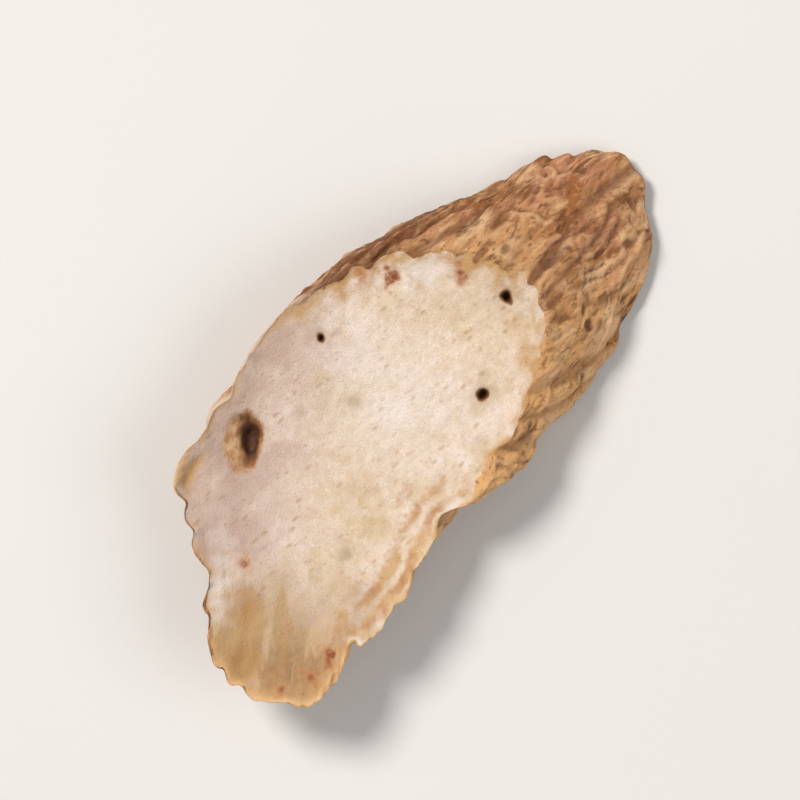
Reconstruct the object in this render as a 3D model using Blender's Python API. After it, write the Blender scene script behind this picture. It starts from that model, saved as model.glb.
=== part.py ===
"""A dried Solomon's seal slice: a wrinkled rhizome cut across on the slant."""
import math

import bmesh
import bpy
from mathutils import Matrix, Vector, noise

MM = 0.001

# Driving dimensions of the cut
THICKNESS = 3.3 * MM

# Outline of the upper cut in millimetres, anticlockwise from the end beside the skin-covered tip
FACE_OUTLINE_MM = (
    (8.6, -0.3), (8.3, 1.2), (7.4, 2.9), (6.2, 4.6), (4.4, 6.1), (2.2, 7.1), (-0.4, 7.6),
    (-3.0, 7.5), (-5.6, 7.5), (-7.8, 7.2), (-9.1, 5.5), (-10.5, 3.9), (-12.2, 2.6),
    (-13.4, 0.6), (-13.2, -1.7), (-12.0, -3.2), (-10.0, -3.4), (-8.0, -3.7), (-5.4, -3.8),
    (-2.8, -3.5), (-0.2, -3.5), (2.4, -3.7), (4.8, -3.3), (6.8, -2.4), (8.1, -1.4),
)
# Outline of the lower cut, point for point where the skin runs down to it along the rod
FOOT_OUTLINE_MM = (
    (15.0, -1.2), (14.5, 0.3), (13.3, 1.5), (11.6, 2.6), (9.7, 3.8), (7.8, 4.9), (5.6, 6.0),
    (3.0, 6.6), (0.2, 6.6), (-2.6, 6.2), (-5.1, 5.2), (-7.0, 3.7), (-8.2, 1.9),
    (-8.7, 0.2), (-8.5, -0.9), (-7.6, -1.6), (-6.0, -1.9), (-4.0, -2.0), (-1.8, -2.1),
    (0.8, -3.2), (3.8, -4.8), (6.8, -5.4), (9.7, -5.1), (12.0, -4.2), (13.9, -3.0),
)
FACE_CENTRE = Vector((-2.4, 1.9)) * MM
FOOT_CENTRE = Vector((3.2, 0.5)) * MM

# Notches in the rim: turn round it from 0 to 1, depth, half width as a share of the turn
NOTCHES = (
    (0.645, 0.62 * MM, 0.0105),
    (0.440, 0.36 * MM, 0.0090),
    (0.766, 0.30 * MM, 0.0090),
)
NOTCH_FADE = 0.85

# Swollen stretch of skin beside the last notch: its middle, height and half widths
SWELLING_TURN = 0.800
SWELLING_SHARE = 0.22
SWELLING_HEIGHT = 1.00 * MM
SWELLING_WIDTH = 0.019
SWELLING_LENGTH = 0.26

# Skin, drawn into grooves along the rod as it dried: how many, how deep, how they sway and vary
WRINKLES = 27
WRINKLE_DEPTH = 0.30 * MM
WRINKLE_FADE = 0.35
WRINKLE_SWAY = 4.0
SWAY_WAVES = 2.2
SWAY_RUN = 0.9
GROOVE_STRENGTH = 0.68
GROOVE_VARIATION = 1.0
WEAKEST_GROOVE = 0.15
VARIATION_WAVES = 3.1
VARIATION_RUN = 1.4
VARIATION_SEED = 5.0
VALLEY_WIDTH = 0.25
RIND_BULGE = 0.18 * MM
KNOB_HEIGHT = 0.25 * MM
KNOB_SIZE = 1.9 * MM
STEEPEST_LEAN = 1.7
FLATTEST_SPOKE = 0.6
RIM_FADE = 6
TURN_STEP = 0.0005

# Cut faces, warped as they dried
END_CURL = 0.75 * MM
SIDE_CURL = 0.35 * MM
HALF_LENGTH = 14.2 * MM
HALF_WIDTH = 6.5 * MM
SLICE_CENTRE = Vector((0.8, 1.2)) * MM
RESTING_DEPTH = 0.10 * MM
DISH_DEPTH = 0.22 * MM
LIP_HEIGHT = 0.16 * MM
LIP_POWER = 10
UNDULATION = 0.16 * MM
UNDULATION_SIZE = 3.6 * MM
FACE_SEED = 0.0
BASE_SEED = 7.0

# Hollows in the upper face: place, half sizes, turn in degrees
HOLLOWS = (
    ("pit", Vector((-4.3, 5.45)) * MM, Vector((1.20, 0.54, 0.95)) * MM, 34.0),
    ("pore_tip", Vector((7.0, -0.2)) * MM, Vector((0.36, 0.32, 0.70)) * MM, 25.0),
    ("pore_middle", Vector((3.0, -1.7)) * MM, Vector((0.34, 0.33, 0.70)) * MM, 70.0),
    ("pore_edge", Vector((1.1, 5.4)) * MM, Vector((0.26, 0.24, 0.50)) * MM, 50.0),
)
# How far they lie on the way from the face's centre to its rim, for the height of their middles
HOLLOW_SHARE = 0.6

# Mesh resolution: segments round the rim, and rings on the face, the rind and the base
SEGMENTS = 240
FACE_RINGS = 8
RIND_RINGS = 7
BASE_RINGS = 6
RIM_CROWDING = 0.62
CUTTER_SEGMENTS = 20
CUTTER_RINGS = 12
SHARP_EDGE = math.radians(40.0)

# Finishes: colour and roughness
FLESH = ((0.78, 0.66, 0.52, 1.0), 0.85)
SKIN = ((0.46, 0.24, 0.095, 1.0), 0.75)


def closed_curve(points, turn):
    """Point on the smooth closed curve through the points, at a turn from 0 to 1."""
    count = len(points)
    place = (turn % 1.0) * count
    index = int(place)
    f = place - index
    a, b, c, d = (points[(index + k) % count] for k in (-1, 0, 1, 2))
    bend = 2.0 * a - 5.0 * b + 4.0 * c - d
    twist = 3.0 * (b - c) + d - a
    return b + 0.5 * f * (c - a + f * (bend + f * twist))


FACE_OUTLINE = [Vector(point) * MM for point in FACE_OUTLINE_MM]
FOOT_OUTLINE = [Vector(point) * MM for point in FOOT_OUTLINE_MM]


def smooth_rim(turn, depth_share):
    """Point of the ungrooved skin, depth share running from 0 at the upper cut to 1 at the lower."""
    return closed_curve(FACE_OUTLINE, turn).lerp(closed_curve(FOOT_OUTLINE, turn), depth_share)


def outward(turn, depth_share):
    """Level direction that points away from the rod."""
    along = smooth_rim(turn + TURN_STEP, depth_share) - smooth_rim(turn - TURN_STEP, depth_share)
    return Vector((along.y, -along.x)).normalized()


def notch(turn, depth_share):
    """Depth of the notches, which fade down the skin."""
    total = 0.0
    for place, depth, width in NOTCHES:
        gap = (turn - place + 0.5) % 1.0 - 0.5
        total += depth * math.exp(-(gap / width) ** 2)
    return total * (1.0 - NOTCH_FADE * depth_share)


def swelling(turn, depth_share):
    """Height of the swollen stretch of skin."""
    beside = (turn - SWELLING_TURN + 0.5) % 1.0 - 0.5
    off = math.hypot(beside / SWELLING_WIDTH, (depth_share - SWELLING_SHARE) / SWELLING_LENGTH)
    return SWELLING_HEIGHT * math.exp(-off ** 2)


def curl(point):
    """Rise of the dried, warped slice above its middle."""
    offset = point - SLICE_CENTRE
    return END_CURL * (offset.x / HALF_LENGTH) ** 2 + SIDE_CURL * (offset.y / HALF_WIDTH) ** 2


def undulation(point, seed):
    """Slow waves of a cut face."""
    place = point / UNDULATION_SIZE
    return UNDULATION * noise.noise(Vector((place.x, place.y, seed)))


def groove(turn, depth_share):
    """Depth of the skin's grooves, which run along the rod."""
    run = smooth_rim(turn, 0.0) - FACE_CENTRE
    squash = THICKNESS / math.hypot(THICKNESS, (FOOT_CENTRE - FACE_CENTRE).length)
    angle = math.atan2(run.y, run.x * squash)
    ring = Vector((math.cos(angle), math.sin(angle), 0.0))
    sway = noise.noise(SWAY_WAVES * ring + Vector((0.0, 0.0, SWAY_RUN * depth_share)))
    varied = VARIATION_WAVES * ring + Vector((VARIATION_SEED, 0.0, VARIATION_RUN * depth_share))
    strength = max(GROOVE_STRENGTH + GROOVE_VARIATION * noise.noise(varied), WEAKEST_GROOVE)
    ridge = math.hypot(math.sin(0.5 * WRINKLES * angle + WRINKLE_SWAY * sway), VALLEY_WIDTH)
    return WRINKLE_DEPTH * (1.0 - WRINKLE_FADE * depth_share) * strength * (1.0 - ridge)


def skin_offset(turn, depth_share):
    """Level shift of the skin along the spoke at a turn, from grooves, knobs and notches."""
    place = smooth_rim(turn, depth_share)
    spoke = (place - FACE_CENTRE.lerp(FOOT_CENTRE, depth_share)).normalized()
    away = outward(turn, depth_share)
    run = smooth_rim(turn, 1.0) - smooth_rim(turn, 0.0)
    lean = min(math.hypot(THICKNESS, run.dot(away)) / THICKNESS, STEEPEST_LEAN)
    knob = noise.noise(Vector((place.x, place.y, THICKNESS * depth_share)) / KNOB_SIZE)
    depth = lean * (groove(turn, depth_share) - KNOB_HEIGHT * knob)
    depth += notch(turn, depth_share) - swelling(turn, depth_share)
    return -spoke * depth / max(spoke.dot(away), FLATTEST_SPOKE)


def face_height(point, share):
    """Height of the upper cut, share running from 0 at its centre to 1 at the rim."""
    dish = DISH_DEPTH * (1.0 - share ** 2) - LIP_HEIGHT * share ** LIP_POWER
    return THICKNESS + curl(point) + undulation(point, FACE_SEED) - dish


def base_height(point):
    """Height of the lower cut, flat where the slice rests."""
    return max(0.0, curl(point) + undulation(point, BASE_SEED) - RESTING_DEPTH)


def face_point(turn, share):
    """Point on the upper cut, share running from 0 at its centre to 1 at the rim."""
    place = FACE_CENTRE.lerp(smooth_rim(turn, 0.0), share)
    place += skin_offset(turn, 0.0) * share ** RIM_FADE
    return Vector((place.x, place.y, face_height(place, share)))


def base_point(turn, share):
    """Point on the lower cut, share running from 0 at its centre to 1 at the rim."""
    place = FOOT_CENTRE.lerp(smooth_rim(turn, 1.0), share)
    place += skin_offset(turn, 1.0) * share ** RIM_FADE
    return Vector((place.x, place.y, base_height(place)))


def rind_point(turn, share):
    """Point on the skin, share running from 0 at the upper rim to 1 at the lower one."""
    top = face_point(turn, 1.0)
    low = base_point(turn, 1.0)
    belly = RIND_BULGE * 4.0 * share * (1.0 - share)
    place = smooth_rim(turn, share) + skin_offset(turn, share) + outward(turn, share) * belly
    return Vector((place.x, place.y, top.z + (low.z - top.z) * share))


def slice_point(ring, turn):
    """Point of the slice for a ring counted from the middle of its upper face."""
    if ring <= FACE_RINGS:
        return face_point(turn, (ring / FACE_RINGS) ** RIM_CROWDING)
    if ring < FACE_RINGS + RIND_RINGS:
        return rind_point(turn, (ring - FACE_RINGS) / RIND_RINGS)
    left = FACE_RINGS + RIND_RINGS + BASE_RINGS - ring
    return base_point(turn, (left / BASE_RINGS) ** RIM_CROWDING)


def material(name, colour, roughness):
    """A matt plant surface."""
    result = bpy.data.materials.new(name)
    result.use_nodes = True
    shader = result.node_tree.nodes["Principled BSDF"]
    shader.inputs["Base Color"].default_value = colour
    shader.inputs["Roughness"].default_value = roughness
    shader.inputs["Metallic"].default_value = 0.0
    return result


def build_slice(collection):
    """A sphere drawn out into the slice, ring by ring."""
    rings = FACE_RINGS + RIND_RINGS + BASE_RINGS
    form = bmesh.new()
    bmesh.ops.create_uvsphere(form, u_segments=SEGMENTS, v_segments=rings, radius=1.0)
    on_skin = {}
    for vertex in form.verts:
        ring = round(math.acos(max(-1.0, min(1.0, vertex.co.z))) / math.pi * rings)
        turn = round(math.atan2(vertex.co.y, vertex.co.x) / math.tau * SEGMENTS) / SEGMENTS
        vertex.co = slice_point(ring, turn % 1.0)
        on_skin[vertex] = FACE_RINGS <= ring <= FACE_RINGS + RIND_RINGS
    for face in form.faces:
        face.material_index = int(all(on_skin[vertex] for vertex in face.verts))
    low = Vector([min(vertex.co[axis] for vertex in form.verts) for axis in range(3)])
    high = Vector([max(vertex.co[axis] for vertex in form.verts) for axis in range(3)])
    middle = (low + high) / 2.0
    shift = Vector((-middle.x, -middle.y, -low.z))
    bmesh.ops.translate(form, verts=form.verts, vec=shift)
    form.normal_update()

    mesh = bpy.data.meshes.new("slice")
    form.to_mesh(mesh)
    form.free()
    mesh.materials.append(material("cut flesh", *FLESH))
    mesh.materials.append(material("dried skin", *SKIN))
    mesh.shade_smooth()
    mesh.set_sharp_from_angle(angle=SHARP_EDGE)
    body = bpy.data.objects.new("slice", mesh)
    collection.objects.link(body)
    return body, shift


def build_hollow(collection, shift, name, place, half_size, degrees):
    """An egg-shaped cutter sunk to its middle in the upper face."""
    form = bmesh.new()
    bmesh.ops.create_uvsphere(form, u_segments=CUTTER_SEGMENTS, v_segments=CUTTER_RINGS, radius=1.0)
    form.transform(Matrix.Diagonal((*half_size, 1.0)))
    mesh = bpy.data.meshes.new(name)
    form.to_mesh(mesh)
    form.free()
    cutter = bpy.data.objects.new(name, mesh)
    cutter.location = Vector((place.x, place.y, face_height(place, HOLLOW_SHARE))) + shift
    cutter.rotation_euler.z = math.radians(degrees)
    cutter.hide_render = True
    cutter.display_type = "WIRE"
    collection.objects.link(cutter)


def main():
    for old in list(bpy.data.objects):
        bpy.data.objects.remove(old, do_unlink=True)
    part = bpy.data.collections.new("Dried Solomon's seal slice")
    cutters = bpy.data.collections.new("cutters")
    bpy.context.scene.collection.children.link(part)
    bpy.context.scene.collection.children.link(cutters)

    body, shift = build_slice(part)
    for hollow in HOLLOWS:
        build_hollow(cutters, shift, *hollow)
    cut = body.modifiers.new("hollows", "BOOLEAN")
    cut.operation = "DIFFERENCE"
    cut.solver = "EXACT"
    cut.operand_type = "COLLECTION"
    cut.collection = cutters


main()
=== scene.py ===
import math

import bmesh
import bpy
import numpy as np
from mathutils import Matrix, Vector, noise


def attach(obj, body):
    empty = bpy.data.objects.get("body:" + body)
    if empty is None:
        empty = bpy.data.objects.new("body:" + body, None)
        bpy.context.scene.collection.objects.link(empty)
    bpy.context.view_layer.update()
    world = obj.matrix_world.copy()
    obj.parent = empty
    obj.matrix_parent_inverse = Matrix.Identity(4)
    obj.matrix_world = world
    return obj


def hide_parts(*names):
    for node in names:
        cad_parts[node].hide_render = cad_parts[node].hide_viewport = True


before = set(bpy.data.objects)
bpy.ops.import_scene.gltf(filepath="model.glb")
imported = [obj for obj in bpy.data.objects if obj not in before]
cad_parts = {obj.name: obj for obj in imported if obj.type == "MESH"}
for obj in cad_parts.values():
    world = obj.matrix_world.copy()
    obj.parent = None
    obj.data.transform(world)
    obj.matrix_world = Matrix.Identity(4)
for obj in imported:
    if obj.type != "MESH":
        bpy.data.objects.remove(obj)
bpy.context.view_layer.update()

MM = 0.001

# The two cuts, as in the part's own source: matched outlines in millimetres, and their centres
THICKNESS = 3.3 * MM
FACE_OUTLINE_MM = (
    (8.6, -0.3), (8.3, 1.2), (7.4, 2.9), (6.2, 4.6), (4.4, 6.1), (2.2, 7.1), (-0.4, 7.6),
    (-3.0, 7.5), (-5.6, 7.5), (-7.8, 7.2), (-9.1, 5.5), (-10.5, 3.9), (-12.2, 2.6),
    (-13.4, 0.6), (-13.2, -1.7), (-12.0, -3.2), (-10.0, -3.4), (-8.0, -3.7), (-5.4, -3.8),
    (-2.8, -3.5), (-0.2, -3.5), (2.4, -3.7), (4.8, -3.3), (6.8, -2.4), (8.1, -1.4),
)
FOOT_OUTLINE_MM = (
    (15.0, -1.2), (14.5, 0.3), (13.3, 1.5), (11.6, 2.6), (9.7, 3.8), (7.8, 4.9), (5.6, 6.0),
    (3.0, 6.6), (0.2, 6.6), (-2.6, 6.2), (-5.1, 5.2), (-7.0, 3.7), (-8.2, 1.9),
    (-8.7, 0.2), (-8.5, -0.9), (-7.6, -1.6), (-6.0, -1.9), (-4.0, -2.0), (-1.8, -2.1),
    (0.8, -3.2), (3.8, -4.8), (6.8, -5.4), (9.7, -5.1), (12.0, -4.2), (13.9, -3.0),
)
FACE_CENTRE = np.array((-2.4, 1.9)) * MM
FOOT_CENTRE = np.array((3.2, 0.5)) * MM
ROD_RUN = FOOT_CENTRE - FACE_CENTRE
ROD_DIRECTION = Vector((*ROD_RUN, -THICKNESS)).normalized()
NOTCHES = ((0.645, 0.62 * MM, 0.0105), (0.440, 0.36 * MM, 0.0090), (0.766, 0.30 * MM, 0.0090))
NOTCH_FADE = 0.85
SWELLING_TURN = 0.800
SWELLING_SHARE = 0.22
SWELLING_HEIGHT = 1.00 * MM
SWELLING_WIDTH = 0.019
SWELLING_LENGTH = 0.26

# Grooves and swellings of the skin, as in the part's own source
WRINKLES = 27
WRINKLE_DEPTH = 0.30 * MM
WRINKLE_FADE = 0.35
WRINKLE_SWAY = 4.0
SWAY_WAVES = 2.2
SWAY_RUN = 0.9
GROOVE_STRENGTH = 0.68
GROOVE_VARIATION = 1.0
WEAKEST_GROOVE = 0.15
VARIATION_WAVES = 3.1
VARIATION_RUN = 1.4
VARIATION_SEED = 5.0
VALLEY_WIDTH = 0.25
RIND_BULGE = 0.18 * MM
KNOB_HEIGHT = 0.25 * MM
KNOB_SIZE = 1.9 * MM
STEEPEST_LEAN = 1.7
FLATTEST_SPOKE = 0.6
RIM_FADE = 6
TURN_STEP = 0.0005
SMALLEST_LENGTH = 1e-12

# Warp of the dried slice, as in the part's own source
END_CURL = 0.75 * MM
SIDE_CURL = 0.35 * MM
HALF_LENGTH = 14.2 * MM
HALF_WIDTH = 6.5 * MM
SLICE_CENTRE = np.array((0.8, 1.2)) * MM
RESTING_DEPTH = 0.10 * MM
DISH_DEPTH = 0.22 * MM
LIP_HEIGHT = 0.16 * MM
LIP_POWER = 10
UNDULATION = 0.16 * MM
UNDULATION_SIZE = 3.6 * MM
FACE_SEED = 0.0
BASE_SEED = 7.0

# Hollows in the upper face: place, half sizes, turn in degrees, narrowing of the lower end
HOLLOWS = (
    ((-4.22, 5.48), (1.12, 0.56, 0.95), 34.0, 0.25),
    ((7.0, -0.2), (0.32, 0.26, 0.70), 65.0, 0.20),
    ((3.0, -1.7), (0.29, 0.26, 0.70), 130.0, 0.25),
    ((1.1, 5.4), (0.19, 0.17, 0.50), 50.0, 0.0),
)

# Fine mesh: cells along and across each cut face, and rows of cells down the skin
CELLS = (218, 122)
RIND_ROWS = 58
FACE, BASE, RIND = 0, 1, 2

# Softening of the two sharp rims: passes, and how far each one goes
RIM_ROUNDING = 3
RIM_SOFTNESS = 0.5

# Fine creases of the skin, which sway and change in depth along the rod
FINE_WRINKLES = 92
FINE_WRINKLE_DEPTH = 0.095 * MM
FINE_VALLEY_WIDTH = 0.3
FINE_SWAY = 9.0
FINE_SWAY_WAVES = 3.0
FINE_SWAY_LENGTH = 3.0 * MM
FINE_STRENGTH = 0.6
FINE_VARIATION = 1.1
FINE_VARIATION_WAVES = 4.0
FINE_VARIATION_LENGTH = 2.2 * MM
STRONGEST_CREASE = 1.3

# Bark and specks of the skin
ROD_RADIUS = 5.3 * MM
BARK_HEIGHT = 0.12 * MM
BARK_WIDTH = 0.55 * MM
BARK_LENGTH = 1.9 * MM
SPECK_HEIGHT = 0.055 * MM
SPECK_SIZE = 0.24 * MM

# Ring scars by places along the rod: broken ridges with a groove beside each
RING_SCARS = (1.9 * MM, 4.7 * MM)
RING_HEIGHT = 0.09 * MM
RING_WIDTH = 0.16 * MM
RING_WANDER = 0.9 * MM
RING_WANDER_WAVES = 1.4
RING_STRENGTH = 0.6
RING_VARIATION = 1.6
RING_VARIATION_WAVES = 3.5
STRONGEST_RING = 1.2
RING_GROOVE_DEPTH = 0.7
RING_GROOVE_GAP = 1.6

# Root scars: turn, depth share and radius of each, with a rim round a dip
ROOT_SCARS = (
    (0.940, 0.72, 0.46 * MM), (0.900, 0.42, 0.36 * MM), (0.060, 0.70, 0.34 * MM),
    (0.310, 0.45, 0.40 * MM), (0.520, 0.55, 0.38 * MM), (0.700, 0.60, 0.36 * MM),
)
ROOT_SCAR_HEIGHT = 0.10 * MM
ROOT_RIM_WIDTH = 0.3
ROOT_DIP_WIDTH = 0.55
ROOT_DIP_DEPTH = 1.5
TURNS_PER_DEPTH = 0.1

# Mealy grain of the cut flesh, and the knife's faint streaks
GRAIN_HEIGHT = 0.042 * MM
GRAIN_SIZE = 0.55 * MM
KNIFE_DEPTH = 0.016 * MM
KNIFE_PITCH = 0.30 * MM
KNIFE_LENGTH = 9.0 * MM
KNIFE_DEGREES = 68.0

# Uneven edges of the hollows, and where their stain and their walls start and are full
HOLLOW_UNEVENNESS = 0.3
HOLLOW_WAVE_SIZE = 0.6 * MM
HOLLOW_FINE_SIZE = 0.22 * MM
HOLLOW_FINE_SHARE = 0.5
HOLLOW_STAIN = (1.35, 0.35)
HOLLOW_WALL = (1.08, 0.25)

# Sloping bowl round the pit
BOWL_PLACE = np.array((-4.62, 5.70)) * MM
BOWL_HALF_SIZE = (1.34 * MM, 0.96 * MM)
BOWL_DEGREES = 36.0
BOWL_DEPTH = 0.62 * MM
BOWL_UNEVENNESS = 0.22
BOWL_WAVE_SIZE = 0.7 * MM
BOWL_EDGE = (1.05, 0.62)
BOWL_SLOPE = (1.0, -0.6)

# Furrow at the narrow end, from start to end, and the streaks on both sides of it
FURROW = (np.array((-9.5, 2.1)) * MM, np.array((-12.4, 0.1)) * MM)
FURROW_WIDTH = 0.50 * MM
FURROW_DEPTH = 0.12 * MM
FURROW_WANDER = 0.5 * MM
FURROW_WAVE_SIZE = 1.6 * MM
FURROW_START = 0.35
STREAK_PITCH = 0.75 * MM
STREAK_LENGTH = 3.2 * MM
STREAK_STRENGTH = 2.2
STREAK_START = (-7.5 * MM, -10.5 * MM)

# Small scallops of the rim round the narrow end and along the slice's long lower side
TEETH = 94
TOOTH_HEIGHT = 0.11 * MM
TOOTH_REACH = 0.45 * MM
TOOTH_SWAY = 0.48
TOOTH_SWAY_WAVES = 6.0
TOOTH_POWER = 0.6
TOOTH_LEVEL = 0.65

# Curled flap of skin at a corner of the rim: its ridge, and the crease behind it
FLAP_TURN = 0.350
FLAP_HEIGHT = 0.20 * MM
FLAP_FADE = 8
RIDGE_WIDTH = 0.34 * MM
CREASE_DEPTH = 0.16 * MM
CREASE_GAP = 0.62 * MM
CREASE_WIDTH = 0.26 * MM

# Stretches of the rim: turn of the middle, half width
TEETH_STRETCH = (0.650, 0.135)
FLAP_STRETCH = (FLAP_TURN, 0.016)
EDGE_STRETCH = (0.700, 0.100)
RIM_LINE_STRETCH = (0.575, 0.075)
LIGHT_RIM_STRETCHES = ((0.620, 0.170), (FLAP_TURN, 0.030))
WORN_STRETCH = (0.060, 0.110)
BARE_STRETCHES = ((0.262, 0.062),)
# Darker skin beside the upper-left rim: partly darker skin, partly painted shade of the neighbouring
# slices
DARK_SKIN_AND_SHADE_STRETCH = (0.185, 0.062)
# Skin lighter on the lower-right side: painted light
PAINTED_LIGHT_STRETCH = (0.845, 0.080)

# Depth shares of the skin between which a mark under the upper rim fades
LIGHT_RIM_FADE = (0.10, 0.40)
BARE_FADE = (0.02, 0.16)
WORN_DEPTH = 0.15

# Power by which soft edges fade
SOFT_EDGE_POWER = 1.5

# Ragged edges: wave size, unevenness, least factor, largest factor, seed
SKIN_EDGE = (0.55 * MM, 1.0, 0.35, 2.0, 11.0)
CORTEX_EDGE = (0.80 * MM, 1.2, 0.40, 1.8, 16.0)
WORN_EDGE = (0.90 * MM, 1.3, 0.20, 2.0, 27.0)
PATCH_EDGE = (0.50 * MM, 0.9, 0.50, math.inf)

# Ochre outer flesh beside the rim: its least width, and stretches where it is wider
CORTEX_WIDTH = 0.15 * MM
CORTEX_STRETCHES = (
    ((0.010, 0.140), 0.75 * MM), ((0.560, 0.090), 0.40 * MM), ((0.175, 0.040), 0.55 * MM),
)

# Tan bands that run along the rim, and the light line on the very rim
EDGE_BAND_WIDTH = 1.90 * MM
EDGE_WIDTH_RANGE = (0.4, 1.6)
EDGE_STRIPE_PITCH = 0.95 * MM
EDGE_STRIPE_POWER = 0.6
EDGE_WANDER = 0.5
EDGE_WAVE_SIZE = 1.5 * MM
RIM_LINE_WIDTH = 0.26 * MM

# Broad tones of the upper face: where each starts and is full, and the lean of its edge
TAN_END = (-6.8 * MM, -12.4 * MM)
TAN_LEAN = 0.7
# Greyish mauve towards the upper-left rim: partly a mauve tint of the flesh, partly painted shade of
# the neighbouring slices
MAUVE_AND_SHADE_SIDE = (2.0 * MM, 8.5 * MM)
MAUVE_AND_SHADE_LEAN = -0.45

# Marks on the upper cut, in millimetres: x and y of the place, radius, then strength
RED_SPOTS = (
    (4.95, 4.4, 0.42, 1.0), (5.15, 4.75, 0.3, 0.8), (6.4, 1.8, 0.24, 0.6), (6.7, 2.0, 0.28, 0.8),
    (7.05, 2.25, 0.26, 0.7), (-9.9, -2.4, 0.34, 1.0), (-10.2, -2.55, 0.3, 0.8),
    (-8.8, 2.75, 0.28, 0.8), (4.3, 5.6, 0.35, 0.6), (-11.2, -2.35, 0.4, 0.7),
    (-12.3, -1.6, 0.34, 0.7),
)
GREY_SPECKS = (
    (-0.4, 2.7, 0.34, 0.7), (-2.0, 4.5, 0.26, 0.5), (-6.0, -0.6, 0.3, 0.8), (1.2, -2.6, 0.22, 0.4),
    (7.0, -0.2, 0.62, 0.6), (3.0, -1.7, 0.6, 0.6), (1.1, 5.4, 0.48, 0.6), (-7.1, -2.1, 0.5, 0.4),
    (-8.4, 0.9, 0.55, 0.15),
)
YELLOW_PATCHES = (
    (-7.2, -1.2, 1.1, 0.8), (-3.4, 0.3, 0.9, 0.6), (-9.8, 0.6, 1.3, 0.5), (-1.6, -2.6, 1.1, 0.6),
    (5.6, 0.9, 1.3, 0.2), (-11.2, 1.3, 1.2, 0.8), (-4.3, -1.1, 1.0, 0.5), (-5.9, -1.0, 0.9, 0.5),
    (-10.0, -1.7, 0.8, 0.6), (0.9, -3.2, 0.55, 0.8),
)
# Whitish patches of the flesh; the three near x 6, just inside the upper rim, are a painted highlight
PALE_AND_HIGHLIGHT_PATCHES = (
    (-10.2, 3.2, 0.42, 0.9), (-10.8, 2.8, 0.42, 0.8), (-11.3, 2.45, 0.36, 0.7),
    (-9.3, 3.5, 0.4, 0.6), (-8.5, 4.3, 0.5, 0.5), (-1.8, -3.35, 0.42, 1.0), (-7.7, -3.5, 0.3, 0.9),
    (5.75, 3.8, 0.6, 0.9), (6.1, 3.2, 0.65, 1.0), (6.45, 2.75, 0.5, 0.9), (-8.9, -3.15, 0.36, 1.0),
    (7.4, -1.7, 0.5, 0.7), (8.0, -0.8, 0.5, 0.7), (6.6, -2.5, 0.45, 0.6), (0.2, 1.0, 2.6, 0.5),
)

# Marks on the lower cut, which the photo doesn't show, in the same form
BASE_RED_SPOTS = (
    (-5.2, 0.9, 0.4, 0.8), (1.4, 5.6, 0.34, 0.9), (8.9, -3.9, 0.38, 0.8), (12.6, 0.4, 0.3, 0.7),
)
BASE_GREY_SPECKS = (
    (-2.4, 1.8, 0.42, 0.8), (2.9, -0.8, 0.36, 0.7), (6.3, 2.0, 0.4, 0.9), (10.2, -1.0, 0.34, 0.8),
    (4.6, 3.9, 0.28, 0.6),
)
BASE_YELLOW_PATCHES = (
    (11.8, -2.2, 1.8, 0.8), (-6.6, 0.6, 1.4, 0.7), (0.8, 2.6, 1.6, 0.5), (7.2, -3.6, 1.1, 0.6),
)

# Spots of the skin in the same form, and how much longer they are along the rod
SPOT_STRETCH = 1.9
SKIN_DARK_SPOTS = (
    (10.9, -0.35, 0.4, 0.6), (9.1, -2.4, 0.45, 0.6), (12.6, -0.6, 0.4, 0.5),
    (12.0, -3.2, 0.45, 0.9), (8.4, -3.2, 0.45, 0.7), (8.1, -4.1, 0.45, 1.0), (13.5, -1.9, 0.5, 0.8),
    (11.1, 1.85, 0.6, 0.9), (7.6, -3.9, 0.4, 0.8), (4.4, -3.9, 0.4, 0.4), (5.9, -3.8, 0.4, 0.5),
    (1.6, -4.5, 0.4, 0.7), (0.6, -3.75, 0.5, 0.9), (-0.3, -3.95, 0.4, 0.8), (9.7, 1.9, 0.75, 0.8),
    (8.05, -1.95, 0.45, 0.9), (7.4, -2.5, 0.4, 0.8), (6.3, -3.15, 0.35, 0.7), (9.3, -3.7, 0.4, 0.8),
    (2.6, -4.2, 0.4, 0.7),
)
SKIN_LIGHT_SPOTS = (
    (10.0, -1.0, 0.45, 0.8), (10.0, -2.9, 0.5, 1.0), (9.0, -4.25, 0.45, 0.9),
    (7.25, -4.6, 0.4, 0.8), (13.6, -2.85, 0.45, 0.9), (5.2, -4.4, 0.5, 0.6),
    (14.4, -1.75, 0.5, 1.0), (14.6, 0.1, 0.45, 0.9), (8.5, -4.7, 0.5, 1.0), (11.5, 0.1, 0.45, 0.7),
    (12.1, 2.05, 0.5, 0.8), (12.2, -2.8, 0.35, 0.8), (11.0, -1.95, 0.5, 0.6),
    (12.9, -3.3, 0.4, 0.9), (8.8, 2.6, 0.6, 0.9), (7.0, -3.3, 0.5, 0.7), (6.1, -4.9, 0.5, 0.8),
    (10.6, -4.3, 0.45, 0.8), (-0.7, -4.3, 0.4, 1.0), (0.1, -4.6, 0.4, 0.9), (2.6, -4.6, 0.5, 0.7),
    (8.35, 0.9, 0.6, 0.9), (9.0, -0.9, 0.6, 0.7), (9.8, -2.3, 0.5, 0.6), (7.2, 3.6, 0.55, 0.9),
    (4.0, -4.6, 0.65, 0.7),
)

# Skin that shows on the cut faces beside the rim: its reach, and where it starts and is full
SKIN_REACH = 0.10 * MM
SKIN_FADE = (1.25, 0.35)

# Frays of the skin on the upper face: turn, half width, extra reach
FRAYS = (
    (0.348, 0.013, 0.42 * MM), (0.165, 0.025, 0.22 * MM), (0.620, 0.022, 0.20 * MM),
    (0.805, 0.012, 0.35 * MM), (0.480, 0.030, 0.15 * MM), (0.030, 0.060, 0.22 * MM),
)
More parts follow.
